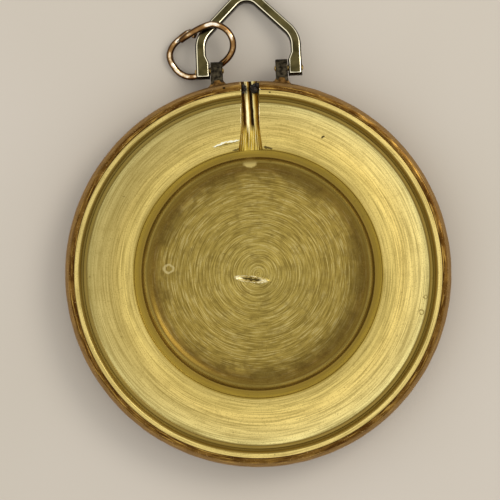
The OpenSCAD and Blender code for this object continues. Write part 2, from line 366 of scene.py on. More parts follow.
def turnedBrass():
    # gilt brass off the lathe: its broken rings stretch every highlight across them, close and fine on the
    # wide face and deeper in the well, under old tarnish and small stains;
    # painted shade darkens the well's foot, the ledge, the step lines and one side of the face, and some
    # spots are painted highlights, shadows and a pool of light
    look = brass
    material, tree, where, _ = startMaterial("lathe turned gilt brass")
    flat, radius = radiusOf(tree, where)
    found = {name: turningMarks(tree, where, radius, *sizes) for name, sizes in look["marks"].items()}
    for name, (size, detail, rough) in look["noises"].items():
        found[name] = addNode(tree, "TexNoise", {"Vector": where, "Scale": 1 / (size * mm),
                                                 "Detail": detail, "Roughness": rough})
    inside, outside = look["floorEdge"]
    found["floor"] = addNode(tree, "MapRange", {0: radius, 1: inside * mm, 2: outside * mm, 3: 1.0, 4: 0.0})
    found["face"] = ringBand(tree, radius, *look["face"])
    found["foot"] = ringBand(tree, radius, *look["foot"])
    away = math.radians(look["shadedSide"])
    way = addNode(tree, "VectorMath", {0: flat}, operation="NORMALIZE")
    found["side"] = addNode(tree, "VectorMath", {0: way, 1: (math.cos(away), math.sin(away), 0)},
                            operation="DOT_PRODUCT")
    share = addNode(tree, "Math", {0: radius, 1: place["caseR"] * mm}, operation="DIVIDE")
    zones = rampOf([(r / place["caseR"], shade) for r, shade in look["zones"]])
    colour = layCoats(tree, addNode(tree, "ValToRGB", {"Fac": share}, stops=zones), look["coats"], found)
    uneven = ragged(tree, where, *look["raggedEdge"])
    for *shape, shade, amount in look["stainsAndLight"]:
        found["stainAndLight"] = ovalMask(tree, uneven, *shape)
        colour = layCoats(tree, colour, [("stainAndLight", 0.0, 1.0, 0.0, amount, "everywhere", shade)], found)
    deep = addNode(tree, "Math", {0: found["cuts"], 1: found["floor"], 2: found["coarse"]},
                   operation="MULTIPLY_ADD")
    height = addNode(tree, "Math", {0: found["fine"], 1: look["fineShare"], 2: deep},
                     operation="MULTIPLY_ADD")
    onFace, inWell = look["strength"]
    strength = addNode(tree, "MapRange", {0: found["floor"], 3: onFace, 4: inWell})
    look = {**look, "bump": (strength, look["depth"])}
    return finishMaterial(material, tree, look, colour, height, found["patches"], {
        "Metallic": 1.0, "Anisotropic": look["anisotropic"], "Anisotropic Rotation": look["grainTurn"],
        "Tangent": addNode(tree, "Tangent", direction_type="RADIAL", axis="Z")})


channelLook = {
    # across the channel in half widths from its middle line, left to right, and the colour there: painted
    # reflections that the groove's curve would mirror, bright and dark streaks with bright lips
    "streaks": [(-1.0, "#f0dc9c"), (-0.92, "#c9a85a"), (-0.86, "#5e3c16"), (-0.68, "#4e3010"),
                (-0.6, "#8a6828"), (-0.5, "#fff4c4"), (-0.3, "#fdf0b4"), (-0.2, "#b08c40"),
                (-0.08, "#7a5a24"), (-0.02, "#1e140a"), (0.24, "#120c06"), (0.33, "#fbeaa4"),
                (0.46, "#dcc878"), (0.64, "#a07820"), (0.84, "#8a641c"), (0.9, "#4a3010"),
                (0.96, "#f4e2a4"), (1.0, "#f4e2a4")],
    "fan": [(0.0, "#4a350e"), (0.4, "#745c1a"), (0.46, "#b89c3c"), (0.54, "#d8bc58"), (0.62, "#f0dc8c"),
            (0.68, "#fff6cc")],
    "slant": 0.07, "slantFrom": 2.3, "widen": 0.12,  # drift for each mm, its still point, spread for each mm
    # to a half width, and to a mm along; the file's real hairs are finer, too fine to show
    "hairs": 10.0, "hairRun": 0.3,
    "wander": 1.1, "sway": 0.1, "fanSway": 6.0,  # mm between bends, how far, and more where the fan starts
    "fanFade": (-0.2, 0.8),  # mm past the start of the flutes
    "coats": [("hairs", 0.5, 0.7, 0.0, 0.3, "everywhere", "#6a4814")],
    "strength": (0.3, 1.0), "depth": 0.12, "rough": (0.28, 0.42),  # in the streaks and in the fan; mm
}


def channelBrass():
    # brass cut with a worn file, its curve painted with reflections in long light and dark streaks,
    # fanned out like brush marks at the inner end
    look = channelLook
    material, tree, where, _ = startMaterial("filed channel brass")
    local = addNode(tree, "Mapping", {"Vector": where, "Scale": (mm, mm, mm),
                                      "Location": (channel["off"] * mm, place["caseR"] * mm, 0),
                                      "Rotation": (0, 0, -math.radians(channel["skew"]))},
                    vector_type="TEXTURE")
    across, along, height = addNode(tree, "SeparateXYZ", {0: local}).outputs[:3]
    past = addNode(tree, "Math", {0: -channel["fluteStart"], 1: along}, operation="SUBTRACT")
    fanned = addNode(tree, "Math", {0: past, 1: 0.0}, operation="MAXIMUM")
    widened = addNode(tree, "Math", {0: fanned, 1: look["widen"], 2: 1.0}, operation="MULTIPLY_ADD")
    across = addNode(tree, "Math", {0: across, 1: widened}, operation="DIVIDE")
    across = addNode(tree, "Math", {0: across, 1: channel["width"] / 2}, operation="DIVIDE")
    sides = [addNode(tree, "Math", {0: source, 1: scale}, operation="MULTIPLY") for source, scale in
             ((across, look["hairs"]), (along, look["hairRun"]), (height, look["hairRun"]))]
    hairs = addNode(tree, "TexNoise", {"Vector": addNode(tree, "CombineXYZ", dict(enumerate(sides))),
                                       "Scale": 1.0, "Detail": 3.0})
    wander = addNode(tree, "TexNoise", {"Vector": where, "Scale": 1 / (look["wander"] * mm), "Detail": 3.0})
    wobble = addNode(tree, "MapRange", {0: wander, 3: -look["sway"], 4: look["sway"]})
    slanted = addNode(tree, "Math", {0: along, 1: look["slant"], 2: across}, operation="MULTIPLY_ADD")
    slanted = addNode(tree, "Math", {0: slanted, 1: look["slantFrom"] * look["slant"]}, operation="ADD")
    swayed = addNode(tree, "Math", {0: slanted, 1: wobble}, operation="ADD")
    share = addNode(tree, "MapRange", {0: swayed, 1: -1.0, 2: 1.0})
    streaks = addNode(tree, "ValToRGB", {"Fac": share},
                      stops=rampOf([((x + 1) / 2, shade) for x, shade in look["streaks"]]))
    fan = addNode(tree, "ValToRGB", {"Fac": hairs}, stops=rampOf(look["fan"]))
    past = addNode(tree, "Math", {0: wobble, 1: look["fanSway"], 2: past}, operation="MULTIPLY_ADD")
    inFan = addNode(tree, "MapRange", {0: past, 1: look["fanFade"][0], 2: look["fanFade"][1]})
    colour = addNode(tree, "Mix", {"Factor": inFan, 6: streaks, 7: fan}, data_type="RGBA")
    colour = layCoats(tree, colour, look["coats"], {"hairs": hairs})
    plain, fanned = look["strength"]
    strength = addNode(tree, "MapRange", {0: inFan, 3: plain, 4: fanned})
    look = {**look, "bump": (strength, look["depth"])}
    return finishMaterial(material, tree, look, colour, hairs, hairs, {"Metallic": 1.0})


bailLook = {
    "patch": 1.4, "grit": 0.16,  # mm
    # the flats' dark olive is a painted reflection of a dark room, laid over the pale gold
    "base": [(0.35, "#3c361d"), (0.68, "#625835")],
    "edgeFrom": (0.83, 0.88),  # how squarely a face looks out of the bar's plane before it counts as edge
    # painted shade darkens the sides, and a painted highlight lies along every bevel
    "coats": [("facing", 0.85, 0.78, 0.0, 1.0, "everywhere", "#2a2312"),
              ("facing", 0.975, 0.955, 0.0, 1.0, "edge", "#fff4d2")],
    "bump": (0.12, 0.02),  # strength, mm deep
    "rough": (0.28, 0.16),
}


def paleGoldPaintedLight():
    # pale gold painted dark olive on its flats as a reflection, painted dark down its sides as shade, with a
    # painted highlight along every bevel
    look = bailLook
    material, tree, where, normal = startMaterial("pale gold with painted light")
    slope = bailSlope()
    facing = addNode(tree, "VectorMath", {0: normal, 1: (0, math.sin(slope), math.cos(slope))},
                     operation="DOT_PRODUCT")
    facing = addNode(tree, "Math", {0: facing}, operation="ABSOLUTE")
    patches, grit = [addNode(tree, "TexNoise", {"Vector": where, "Scale": 1 / (size * mm), "Detail": 5.0})
                     for size in (look["patch"], look["grit"])]
    base = addNode(tree, "ValToRGB", {"Fac": patches}, stops=rampOf(look["base"]))
    edge = addNode(tree, "MapRange", {0: facing, 1: look["edgeFrom"][0], 2: look["edgeFrom"][1]})
    colour = layCoats(tree, base, look["coats"], {"facing": facing, "edge": edge})
    return finishMaterial(material, tree, look, colour, grit, patches, {"Metallic": 1.0})


wireLook = {
    "patch": 0.9, "grit": 0.14,  # mm
    # how squarely the wire faces up, and its colour there: a painted highlight on top and painted shade down
    # the sides
    "tones": [(0.0, "#281609"), (0.45, "#432a14"), (0.7, "#6e4c28"), (0.88, "#987244"), (0.95, "#ecd0a4"),
              (1.0, "#fff6e4")],
    "uneven": (-0.38, 0.3),  # how far a patch moves that
    "bump": (0.15, 0.02),  # strength, mm deep
    "rough": (0.24, 0.12),
}


def roseGoldWire():
    # drawn rose gold wire, with a painted highlight along the top and painted shade down its sides
    look = wireLook
    material, tree, where, normal = startMaterial("drawn rose gold wire")
    up = addNode(tree, "Math", {0: addNode(tree, "SeparateXYZ", {0: normal}).outputs["Z"]},
                 operation="ABSOLUTE")
    patches, grit = [addNode(tree, "TexNoise", {"Vector": where, "Scale": 1 / (size * mm), "Detail": 5.0})
                     for size in (look["patch"], look["grit"])]
    shift = addNode(tree, "MapRange", {0: patches, 3: look["uneven"][0], 4: look["uneven"][1]})
    tone = addNode(tree, "Math", {0: up, 1: shift}, operation="ADD")
    colour = addNode(tree, "ValToRGB", {"Fac": tone}, stops=rampOf(look["tones"]))
    return finishMaterial(material, tree, look, colour, grit, patches, {"Metallic": 1.0})


shellLook = {
    # mm across and along; real scratches are nearer 0.02 mm wide, too fine to show
    "streaks": (0.24, 2.4), "scratches": (0.12, 2.8),
    "patches": (1.6, 6.0), "grit": (0.12, 3.0),  # mm, detail
    "base": [(0.4, "#5c3e16"), (0.62, "#7c5a26")],
    "pit": (-2.68, 19.35, 0.16, 0.12, 0, False),  # x, y, half length and width in mm, turn, hollow
    "coats": [("streaks", 0.47, 0.6, 0.0, 0.85, "everywhere", "#422508"),
              ("scratches", 0.57, 0.68, 0.0, 0.65, "everywhere", "#d2a850"),
              ("radius", 19.5 * mm, 19.75 * mm, 0.0, 0.6, "everywhere", "#be9860"),
              ("pit", 0.0, 1.0, 0.0, 1.0, "everywhere", "#1c1408"),
              ("grit", 0.58, 0.7, 0.0, 0.5, "everywhere", "#3c260e"),
              ("grit", 0.36, 0.28, 0.0, 0.6, "everywhere", "#e0bc7c")],
    "streakShare": 1.5,  # height of the streaks beside the grit
    "bump": (0.5, 0.02),  # strength, mm deep
    "rough": (0.5, 0.32),
}


def wornGilding():
    # browned gilding: streaked and scratched round the rim, paler towards its outer edge
    look = shellLook
    material, tree, where, _ = startMaterial("worn browned gilding")
    found = {"radius": radiusOf(tree, where)[1]}
    height = addNode(tree, "SeparateXYZ", {0: where}).outputs["Z"]
    profile = addNode(tree, "Math", {0: found["radius"], 1: height}, operation="SUBTRACT")
    for name in ("streaks", "scratches"):
        found[name] = turningMarks(tree, where, profile, *look[name])
    for name in ("patches", "grit"):
        size, detail = look[name]
        found[name] = addNode(tree, "TexNoise", {"Vector": where, "Scale": 1 / (size * mm),
                                                 "Detail": detail})
    found["pit"] = ovalMask(tree, where, *look["pit"])
    base = addNode(tree, "ValToRGB", {"Fac": found["patches"]}, stops=rampOf(look["base"]))
    colour = layCoats(tree, base, look["coats"], found)
    height = addNode(tree, "Math", {0: found["streaks"], 1: look["streakShare"], 2: found["grit"]},
                     operation="MULTIPLY_ADD")
    return finishMaterial(material, tree, look, colour, height, found["patches"], {"Metallic": 1.0})


tarnish = {
    # light and dark colour, roughness, patch and grain in mm, strength of the bump
    "dark tarnished lug brass": ("#4c4434", "#1c1811", 0.5, 0.35, 0.1, 1.0),  # sooty, with file marks
    "brown hard solder": ("#8a6838", "#40290f", 0.45, 0.6, 0.15, 0.8),  # flowed, then scaled by the flame
    "drawn brass pin": ("#cfae68", "#8c7038", 0.25, 0.4, 0.1, 0.2),  # smooth and warm, dulled in patches
    "torn bright brass edge": ("#fff0c0", "#d8bd78", 0.2, 0.4, 0.1, 0.3),  # fresh metal, nearly white
}


def tarnishedMetal(name, depth=0.03, duller=0.12):
    # tarnish lies in soft patches that dull the shine, over the grain that a file or the drawing left
    light, dark, rough, patch, grain, strength = tarnish[name]
    material, tree, where, _ = startMaterial(name)
    patches, grit = [addNode(tree, "TexNoise", {"Vector": where, "Scale": 1 / (size * mm), "Detail": 5.0})
                     for size in (patch, grain)]
    base = addNode(tree, "ValToRGB", {"Fac": patches}, stops=rampOf([(0.38, dark), (0.62, light)]))
    colour = layCoats(tree, base, [("grit", 0.55, 0.7, 0.0, 0.5, "everywhere", dark)], {"grit": grit})
    look = {"bump": (strength, depth), "rough": (rough + duller, rough)}
    return finishMaterial(material, tree, look, colour, grit, patches, {"Metallic": 1.0})


dirt = {
    "lump": 0.2, "grit": 0.08,  # mm
    "tones": [(0.42, "#070504"), (0.66, "#3a2912")],
    "bump": (0.8, 0.04),  # strength, mm deep
    "rough": (0.85, 0.6),
}


def packedGrime():
    # old polish and dirt: black and crusty, with a few dull greasy glints
    look = dirt
    material, tree, where, _ = startMaterial("packed black grime")
    lumps, grit = [addNode(tree, "TexNoise", {"Vector": where, "Scale": 1 / (size * mm), "Detail": 4.0})
                   for size in (look["lump"], look["grit"])]
    colour = addNode(tree, "ValToRGB", {"Fac": lumps}, stops=rampOf(look["tones"]))
    return finishMaterial(material, tree, look, colour, grit, lumps, {})


table = {"mottle": 40, "grit": 5, "tones": [(0.3, "#c1b8a9"), (0.7, "#c6bdb0")], "rough": (0.7, 0.8)}  # mm


def tableTop():
    # pale matt laminate, very slightly mottled
    look = table
    material, tree, where, _ = startMaterial("pale matt laminate")
    mottle, grit = [addNode(tree, "TexNoise", {"Vector": where, "Scale": 1 / (look[name] * mm)})
                    for name in ("mottle", "grit")]
    colour = addNode(tree, "ValToRGB", {"Fac": mottle}, stops=rampOf(look["tones"]))
    rough = addNode(tree, "MapRange", {0: grit, 3: look["rough"][0], 4: look["rough"][1]})
    skin = addNode(tree, "BsdfPrincipled", {"Base Color": colour, "Roughness": rough})
    addNode(tree, "OutputMaterial", {"Surface": skin})
    return material


def dress(obj, material):
    obj.data.materials.clear()
    obj.data.materials.append(material)


# Turned brass insert
insert = {
    "steps": 540,  # segments round the lathe's axis
    # heights from the case's back, then widths and depths of each step, in mm
    "floorZ": 0.95, "ledgeZ": 2.8, "faceZ": 3.75, "faceEdgeZ": 3.6, "shelfZ": 3.95,
    "wellFillet": 1.3, "ledgeW": 0.76, "levelW": 1.6, "shelfW": 0.35,
    "grooveW": 0.2, "grooveH": 0.1, "bevelW": 0.3, "bevelH": 0.35,
    "cornerChamfer": 1.4, "edgeBreak": 0.06,
    "filletSteps": 16, "floorRings": (4.5, 6, 8),
}
channel = {
    "width": 1.86, "rise": 0.02, "skew": 2.1, "off": 0.05,  # mm, mm over the ledge, degrees, mm
    "past": 0.6, "above": 3.0, "arcSteps": 20,  # how far the cutter runs into the well, and over the face
    # mm from the rim to where the end fans out, and each flute's angle in degrees and radius in mm
    "fluteStart": 4.6, "flutes": [(-7.0, 0.93), (7.0, 0.93), (-3.2, 0.72), (3.6, 0.66)],
}
# place and size in mm, turn in degrees, and the lip's place and width in half widths of the gouge
gouge = {"x": -0.76, "y": -0.53, "long": 1.5, "wide": 0.27, "deep": 0.2, "lip": 0.06, "turn": -9,
         "lipAt": 1.12, "lipW": 0.16, "blunt": 0.8, "ringGap": 0.085, "rings": 36}


def turned(x, y, a):
    return x * math.cos(a) - y * math.sin(a), x * math.sin(a) + y * math.cos(a)


def grooveCutter(name, radius, back, length, turn, start):
    # a round-bottomed groove with an open top that runs from the rim towards the middle
    z, steps = insert["ledgeZ"] + channel["rise"] + channel["width"] / 2, channel["arcSteps"]
    top = z + channel["above"]
    arc = [(radius * math.cos(a), z + radius * math.sin(a))
           for a in (-math.pi * k / steps for k in range(steps + 1))]
    section = [(radius, top)] + arc + [(-radius, top)]
    bm = bmesh.new()
    bridge(bm, [[bm.verts.new((x, y, h)) for x, h in section] for y in (start + back, start - length)])
    skew, spread = math.radians(-channel["skew"]), math.radians(turn)
    for vert in bm.verts:
        x, y = vert.co.x, vert.co.y - start
        x, y = turned(x, y, spread)
        x, y = turned(x, y + start, skew)
        vert.co = Vector((x + channel["off"], y + place["caseR"], vert.co.z)) * mm
    return makeObject(name, bm)


def channelCutters():
    half = channel["width"] / 2
    length = place["caseR"] - place["wellR"] + channel["past"]
    cutters = [grooveCutter("channelCut", half, 1, length, 0, 0)]
    for i, (turn, radius) in enumerate(channel["flutes"]):
        cutters.append(grooveCutter(f"fluteCut{i}", radius, 0, length - channel["fluteStart"], turn,
                                    -channel["fluteStart"]))
    for cutter in cutters:
        dress(cutter, channelSkin)
    return cutters


def insertOutline():
    s, p = insert, place
    ledgeR = p["wellR"] + s["ledgeW"]
    shelfR = p["seatR"] - s["grooveW"]
    faceR = shelfR - s["shelfW"]
    steps = s["filletSteps"]
    arc = [(p["wellR"] - s["wellFillet"] * (1 - math.sin(a)),
            s["floorZ"] + s["wellFillet"] * (1 - math.cos(a)))
           for a in (math.pi / 2 * k / steps for k in range(steps + 1))]
    floor = [(0.02 + gouge["ringGap"] * k, s["floorZ"]) for k in range(gouge["rings"])]  # for the gouge
    upper = roundOutline([  # the last number of each is the radius of its rounding
        (p["wellR"], s["floorZ"] + s["wellFillet"], 0),
        (p["wellR"], s["ledgeZ"] - s["edgeBreak"], 0.02), (p["wellR"] + s["edgeBreak"], s["ledgeZ"], 0.02),
        (ledgeR, s["ledgeZ"], 0.05), (ledgeR, s["faceZ"] - s["edgeBreak"], 0.02),
        (ledgeR + s["edgeBreak"], s["faceZ"], 0.02), (ledgeR + s["levelW"], s["faceZ"], 0.3),
        (faceR, s["faceEdgeZ"], 0.04), (faceR, s["shelfZ"], 0.05), (shelfR, s["shelfZ"], 0.04),
        (shelfR, s["shelfZ"] - s["grooveH"], 0.03), (p["seatR"], s["shelfZ"] - s["grooveH"], 0.03),
        (p["seatR"], p["landZ"] - s["bevelH"], 0.08), (p["seatR"] + s["bevelW"], p["landZ"], 0.06),
        (p["insertR"], p["landZ"], 0.05), (p["insertR"], p["insertZ"] + s["cornerChamfer"], 0.1),
        (p["insertR"] - s["cornerChamfer"], p["insertZ"], 0.1), (0, p["insertZ"], 0)])
    return [(0, s["floorZ"])] + floor + [(r, s["floorZ"]) for r in s["floorRings"]] + arc + upper[1:]


def dentFloor(obj):
    # the gouge near the middle of the well: a sunk sliver with a raised lip
    reach, level = gouge["ringGap"] * gouge["rings"], 0.01
    for vert in obj.data.vertices:
        x, y, z = vert.co / mm
        if abs(z - insert["floorZ"]) > level or math.hypot(x, y) > reach:
            continue
        u, v = turned(x - gouge["x"], y - gouge["y"], -math.radians(gouge["turn"]))
        d = math.hypot(u / gouge["long"], v / gouge["wide"])
        sink = gouge["deep"] * max(0.0, 1 - d * d) ** gouge["blunt"]
        lip = gouge["lip"] * math.exp(-((d - gouge["lipAt"]) / gouge["lipW"]) ** 2)
        vert.co.z += (lip - sink) * mm
    obj.data.update()


turnedInsert = lathe("turned_insert", insertOutline(), insert["steps"], 30)
dentFloor(turnedInsert)
channelSkin = channelBrass()
dress(turnedInsert, turnedBrass())
cutAway(turnedInsert, channelCutters(), 30)
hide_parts("case_insert")
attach(turnedInsert, "case")
print("turned insert made", len(turnedInsert.data.polygons))


# Gilt outer shell
shell = {
    "wall": 0.95, "curveW": 3.0, "curveH": 2.2, "rimR": 0.75, "corner": 1.4,  # mm
    "steps": 540, "curveSteps": 16, "rimSteps": 12, "backRings": (8, 14),
    # how deep the nicks go, and where they are: mm in from the edge and mm up
    "wear": 0.035, "wearIn": 0.9, "wearFrom": 3.2,
    "dents": [(14, 0.8, 1.0, -0.1), (60, 2.0, 0.7, 0.15)],  # round, up, share of the depth, how rare
    "drop": 0.4,
}


def shellOutline():
    s, p = shell, place
    curveIn = p["caseR"] - s["curveW"]
    curve = [(curveIn + s["curveW"] * math.sin(a), s["curveH"] * (1 - math.cos(a)))
             for a in (math.pi / 2 * k / s["curveSteps"] for k in range(s["curveSteps"] + 1))]
    rim = [(p["caseR"] - s["rimR"] * (1 - math.cos(a)), p["rimZ"] - s["rimR"] * (1 - math.sin(a)))
           for a in (math.pi / 2 * k / s["rimSteps"] for k in range(s["rimSteps"] + 1))]
    bore = p["caseR"] - s["wall"]
    inside = roundOutline([rim[-1] + (0,), (bore, p["rimZ"], 0.05), (bore, p["insertZ"] + s["corner"], 0),
                           (bore - s["corner"], p["insertZ"], 0), (0, p["insertZ"], 0)])
    return [(0, 0)] + [(r, 0) for r in s["backRings"]] + curve + rim + inside[1:]


def wearRim(obj):
    # small nicks and flats along the outer edge, always inwards
    for vert in obj.data.vertices:
        x, y, z = vert.co / mm
        r = math.hypot(x, y)
        if r < place["caseR"] - shell["wearIn"] or z < shell["wearFrom"]:
            continue
        dent = 0.0
        for around, upward, depth, rare in shell["dents"]:
            found = noise.noise(Vector((x / r * around, y / r * around, z * upward)))
            dent += shell["wear"] * depth * max(0.0, found - rare)
        share = 1 - dent / r
        vert.co.x *= share
        vert.co.y *= share
        vert.co.z -= dent * shell["drop"] * mm
    obj.data.update()


def boxCutter(name, low, high):
    bm = bmesh.new()
    bmesh.ops.create_cube(bm, size=1)
    for vert in bm.verts:
        vert.co = Vector([(a + b) / 2 + c * (b - a) for a, b, c in zip(low, high, vert.co)]) * mm
    return makeObject(name, bm)


giltShell = lathe("gilt_shell", shellOutline(), shell["steps"], 35)
wearRim(giltShell)
dress(giltShell, wornGilding())
lugPockets = [boxCutter("lugPocket", (side * place["lugMid"] - place["lugHalf"], lugLow.y, lugLow.z),
                        (side * place["lugMid"] + place["lugHalf"], lugHigh.y, lugHigh.z))
              for side in (-1, 1)]
for pocket in lugPockets:
    dress(pocket, channelSkin)
cutAway(giltShell, channelCutters() + lugPockets, 35)
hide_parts("outer_shell")
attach(giltShell, "case")
print("gilt shell made")

# Lugs and their solder
lugLook = {"bevel": 0.09, "bore": 0.35, "arcSteps": 20, "sideSteps": 8,  # mm, mm, points
           "bevelSteps": 3, "sharpAngle": 40}  # degrees


def lugOutline():
    # (angle at the pin, distance from it) round the side of the lug, with a point on each corner
    r, back = place["lugR"], place["pinY"] - lugLow.y
    corner = math.pi - math.atan2(r, back)
    side, arc = lugLook["sideSteps"], lugLook["arcSteps"]
    stops = [(-corner, side), (-math.pi / 2, arc), (math.pi / 2, side), (corner, side),
             (2 * math.pi - corner, 0)]
    turns = [a + (b - a) * k / steps for (a, steps), (b, _) in zip(stops, stops[1:]) for k in range(steps)]
    return [(a, r if math.cos(a) > 0 else min(r / max(abs(math.sin(a)), 0.01), -back / math.cos(a)))
            for a in turns]


def makeLug(side):
    name = "lug_left_piece" if side < 0 else "lug_right_piece"
    half = place["lugHalf"]
    outline = lugOutline()
    bore = [(a, lugLook["bore"]) for a, _ in outline]
    bm = bmesh.new()
    loops = []
    for x, points in ((-half, outline), (half, outline), (half, bore), (-half, bore)):
        loops.append([bm.verts.new(Vector((side * place["lugMid"] + x, place["pinY"] + far * math.cos(a),
                                           place["pinZ"] + far * math.sin(a))) * mm) for a, far in points])
    bridge(bm, loops + loops[:1], capped=False)
    lug = makeObject(name, bm)
    bevel = lug.modifiers.new("bevel", "BEVEL")
    bevel.width, bevel.segments = lugLook["bevel"] * mm, lugLook["bevelSteps"]
    bevel.angle_limit = math.radians(lugLook["sharpAngle"])
    applyModifiers(lug, lugLook["sharpAngle"])
    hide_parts("lug_left" if side < 0 else "lug_right")
    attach(lug, "case")
    return lug


solderLook = {
    "rings": 9, "sides": 48, "squareness": -0.75,
    # mm: how far it spreads, climbs, stands off the lug, swells over and under it, sinks in the case
    "flare": 0.5, "climb": 0.62, "skin": 0.02, "swell": 0.1, "sink": 0.12,
    # its lumps: mm high, how close, the least share of that at the top, how far they lift it, and
    # how far apart the two solders' lumps are drawn
    "lump": 0.05, "lumpsPerMm": 2.3, "lumpTop": 0.3, "lift": 0.5, "apart": 5,
}


def makeSolder(side):
    # a fillet that runs from the case's side up round the foot of the lug
    name = "solder_left_piece" if side < 0 else "solder_right_piece"
    s, p, half = solderLook, place, place["lugHalf"]
    limitX, limitZ = half + s["flare"], p["lugR"] + s["skin"] + s["swell"]
    bm = bmesh.new()
    rings = []
    for i in range(s["rings"]):
        t = i / (s["rings"] - 1)
        wide = (1 - t) ** 2
        loop = []
        for k in range(s["sides"]):
            a = 2 * math.pi * k / s["sides"]
            square = max(abs(math.cos(a)), abs(math.sin(a))) ** s["squareness"]
            x = (half + s["skin"] + s["flare"] * wide) * math.cos(a) * square
            z = (p["lugR"] + s["skin"] + s["swell"] * wide) * math.sin(a) * square
            x = max(-limitX, min(limitX, x)) + side * p["lugMid"]
            z = max(-limitZ, min(limitZ, z))
            y = math.sqrt(p["caseR"] ** 2 - x * x) - s["sink"] + s["climb"] * t
            at = Vector((x, y, z)) * s["lumpsPerMm"] + Vector((0, 0, side * s["apart"]))
            lump = noise.noise(at) * s["lump"] * (s["lumpTop"] + wide)
            y = min(y, solderHigh.y) + lump * s["lift"]
            loop.append(bm.verts.new(Vector((x + lump, y, p["pinZ"] + z)) * mm))
        rings.append(loop)
    bridge(bm, rings)
    solder = makeObject(name, bm, 60)
    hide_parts("solder_left" if side < 0 else "solder_right")
    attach(solder, "case")
    return solder


lugs = [makeLug(side) for side in (-1, 1)]
solders = [makeSolder(side) for side in (-1, 1)]
print("lugs and solder made")

# Bail and its pins
bail = {
    "barW": 1.1, "barT": 1.0, "legH": 2.48, "bendR": 3.2, "roof": 46, "tipR": 1.0, "tipInnerR": 1.17,
    "footDrop": 0.78, "footH": 0.85, "footSlope": 0.75, "footIn": 4.08, "bevel": 0.27,  # mm; roof in degrees
    "bendSteps": 14, "tipSteps": 16, "bevelSteps": 4,
}


def arcPoints(x, y, r, a, b, steps):
    return [(x + r * math.cos(t), y + r * math.sin(t))
            for t in (math.radians(a + (b - a) * k / steps) for k in range(steps + 1))]


def bailOutline(inset):
    # the bar's outline in its own plane, drawn in by inset all round
    s = bail
    half = place["bailHalf"]
    turn = 90 - s["roof"]
    bendX, bendR = half - s["bendR"], s["bendR"] - inset
    barW = s["barW"] - 2 * inset
    roof, rise = math.radians(s["roof"]), math.sin(math.radians(turn))
    top = s["legH"] + bendR * rise + (bendX + bendR * math.cos(math.radians(turn))) * math.tan(roof)
    innerTop = top - barW / math.cos(roof)
    tipR, tipInnerR = s["tipR"] - inset, s["tipInnerR"] + inset
    low = -s["footDrop"] + inset
    outside = [(s["footIn"] + inset, low), (half - inset, low)]
    outside += arcPoints(bendX, s["legH"], bendR, 0, turn, s["bendSteps"])
    inside = arcPoints(bendX, s["legH"], bendR - barW, turn, 0, s["bendSteps"])
    inside += [(half - s["barW"] + inset, s["footH"] + s["footSlope"]), (s["footIn"] + inset, s["footH"])]
    tip = arcPoints(0, top - tipR / rise, tipR, turn, 180 - turn, s["tipSteps"])
    tipInside = arcPoints(0, innerTop - tipInnerR / rise, tipInnerR, 180 - turn, turn, s["tipSteps"])
    mirrored = [[(-x, y) for x, y in reversed(points)] for points in (outside, inside)]
    return outside + tip + mirrored[0] + mirrored[1] + tipInside + inside


def bailLength():
    return max(y for x, y in bailOutline(0))


def bailSlope():
    # how steeply the bail comes down from its pins to lie with its tip on the table
    reach, half = bailLength(), bail["barT"] / 2
    return math.asin(place["pinZ"] / math.hypot(reach, half)) - math.atan2(half, reach)


def makeBail():
    slope, half, b = bailSlope(), bail["barT"] / 2, bail["bevel"]
    levels = []
    for k in range(bail["bevelSteps"] + 1):  # the rounded edge, low side first
        a = math.pi / 2 * k / bail["bevelSteps"]
        levels.append((b * (1 - math.sin(a)), -half + b * (1 - math.cos(a))))
    levels += [(inset, -z) for inset, z in reversed(levels)]
    bm = bmesh.new()
    loops = []
    for inset, h in levels:
        loop = []
        for x, v in bailOutline(inset):
            y = place["pinY"] + v * math.cos(slope) + h * math.sin(slope)
            z = place["pinZ"] - v * math.sin(slope) + h * math.cos(slope)
            loop.append(bm.verts.new(Vector((x, y, z)) * mm))
        loops.append(loop)
    bridge(bm, loops)
    made = makeObject("bail_bar", bm, 30)
    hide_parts("bail")
    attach(made, "bail_frame")
    return made


pinLook = {"sides": 32, "rings": 7, "capRings": 3, "capRoom": 0.06}  # the last in mm


def makePin(side):
    # a peened pin: short domes at both ends
    name = "pin_left_piece" if side < 0 else "pin_right_piece"
    s = pinLook
    start, end = side * (pinLow.x + s["capRoom"]), side * (pinHigh.x - s["capRoom"])
    line = [Vector((start + (end - start) * k / (s["rings"] - 1), place["pinY"], place["pinZ"]))
            for k in range(s["rings"])]
    pin = tube(name, line, [place["pinR"]] * s["rings"], s["sides"], Vector((0, 0, 1)), s["capRings"])
    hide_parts("bail_pin_left" if side < 0 else "bail_pin_right")
    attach(pin, "bail_frame")
    return pin


bailBar = makeBail()
pins = [makePin(side) for side in (-1, 1)]
print("bail and pins made")

# Jump ring
ring = {
    "wireD": 0.7, "sides": 28, "steps": 9, "lugGap": 0.2, "barGap": 0.12, "tableGap": 0.03,  # mm
    # where it passes over the bar and under the lug, and its low side, in mm from the bail's left side
    # or the lug's middle, and from the pins
    "over": (1.9, 5.0), "underY": 0.2, "low": (-1.85, 0.2),
    "capRoom": 2, "tapered": 6, "taper": 0.9,  # points left for the domes, points that taper, and to what
    "drawn": (0.985, 0.03, 0.13),  # thickness of the wire, how much it varies, how often
    # along the wire: from the bail's left side, from the pins, and the rise or drop in wire widths
    "route": [(-1.55, 3.35, 0.2), (-0.6, 3.95, 0.65), (0.6, 4.55, 0.7), (1.9, 4.9, 0.3), (3.15, 4.4, 0),
              (3.85, 3.4, 0), (3.9, 2.3, 0), (3.35, 1.35, 0), (2.2, 0.5, 0), (1, -0.1, 0),
              (-0.1, -0.35, 0), (-1, -0.3, 0), (-1.85, 0.2, 0), (-2.5, 1.1, 0), (-2.7, 2, 0),
              (-2.35, 2.9, -0.3), (-1.55, 3.65, -1.05), (-0.7, 4.2, -1.15), (-0.05, 4.2, -1.3),
              (-0.2, 3.75, -1.3)],
}


